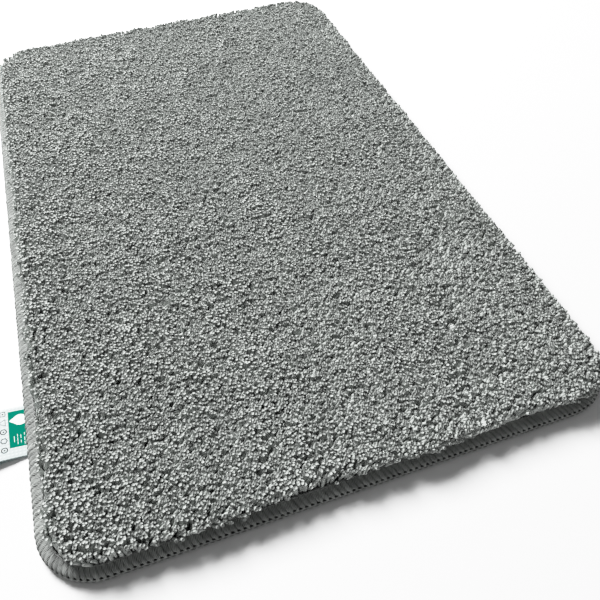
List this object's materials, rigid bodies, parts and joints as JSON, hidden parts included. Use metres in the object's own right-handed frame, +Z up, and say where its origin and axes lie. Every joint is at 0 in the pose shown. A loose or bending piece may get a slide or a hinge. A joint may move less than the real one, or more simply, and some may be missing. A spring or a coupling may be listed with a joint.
{
  "type": "bath mat",
  "caption": "Rectangular tufted bath mat with round corners, a serged yarn edge, a rubbery anti-slip underside and a small sewn-in care label that folds up.",
  "frame": {"origin": "centre of the underside, on the floor plane, without the label", "axes": "+Y along the mat, away from the end beside the label; +X across it, away from the label's side; +Z up out of the pile"},
  "size_m": [0.5386, 0.8, 0.02],
  "materials": {
    "pile_yarn": "soft cut pile of textured polyester microfibre yarn, grey-green",
    "seam_yarn": "fuzzy bulked polyester looper yarn, grey, laid in close ribs",
    "needle_yarn": "fine twisted polyester thread, mid grey",
    "scrim_weave": "plain-woven base cloth, off white",
    "latex_binder": "matt latex coat, cream",
    "anti_slip_rubber": "matt thermoplastic rubber with a fine raised grip pattern, pale grey",
    "label_satin": "white woven satin with a teal printed panel"
  },
  "bodies": {
    "mat": {"anti_slip_backing": "anti_slip_rubber", "binder_coat": "latex_binder", "primary_scrim": "scrim_weave", "pile_field": "pile_yarn", "upper_looper_thread": "seam_yarn", "lower_looper_thread": "seam_yarn", "needle_thread": "needle_yarn"},
    "label": {"care_label": "label_satin"}
  },
  "joints": [
    {"name": "label_flap", "type": "hinge", "parent": "mat", "child": "label", "pos_m": [-0.2509, -0.2491, 0.0013], "axis": [0, 1, 0], "range_deg": [0, 86], "stiffness_Nm_per_rad": 0.0004, "springref_deg": 2.86}
  ]
}
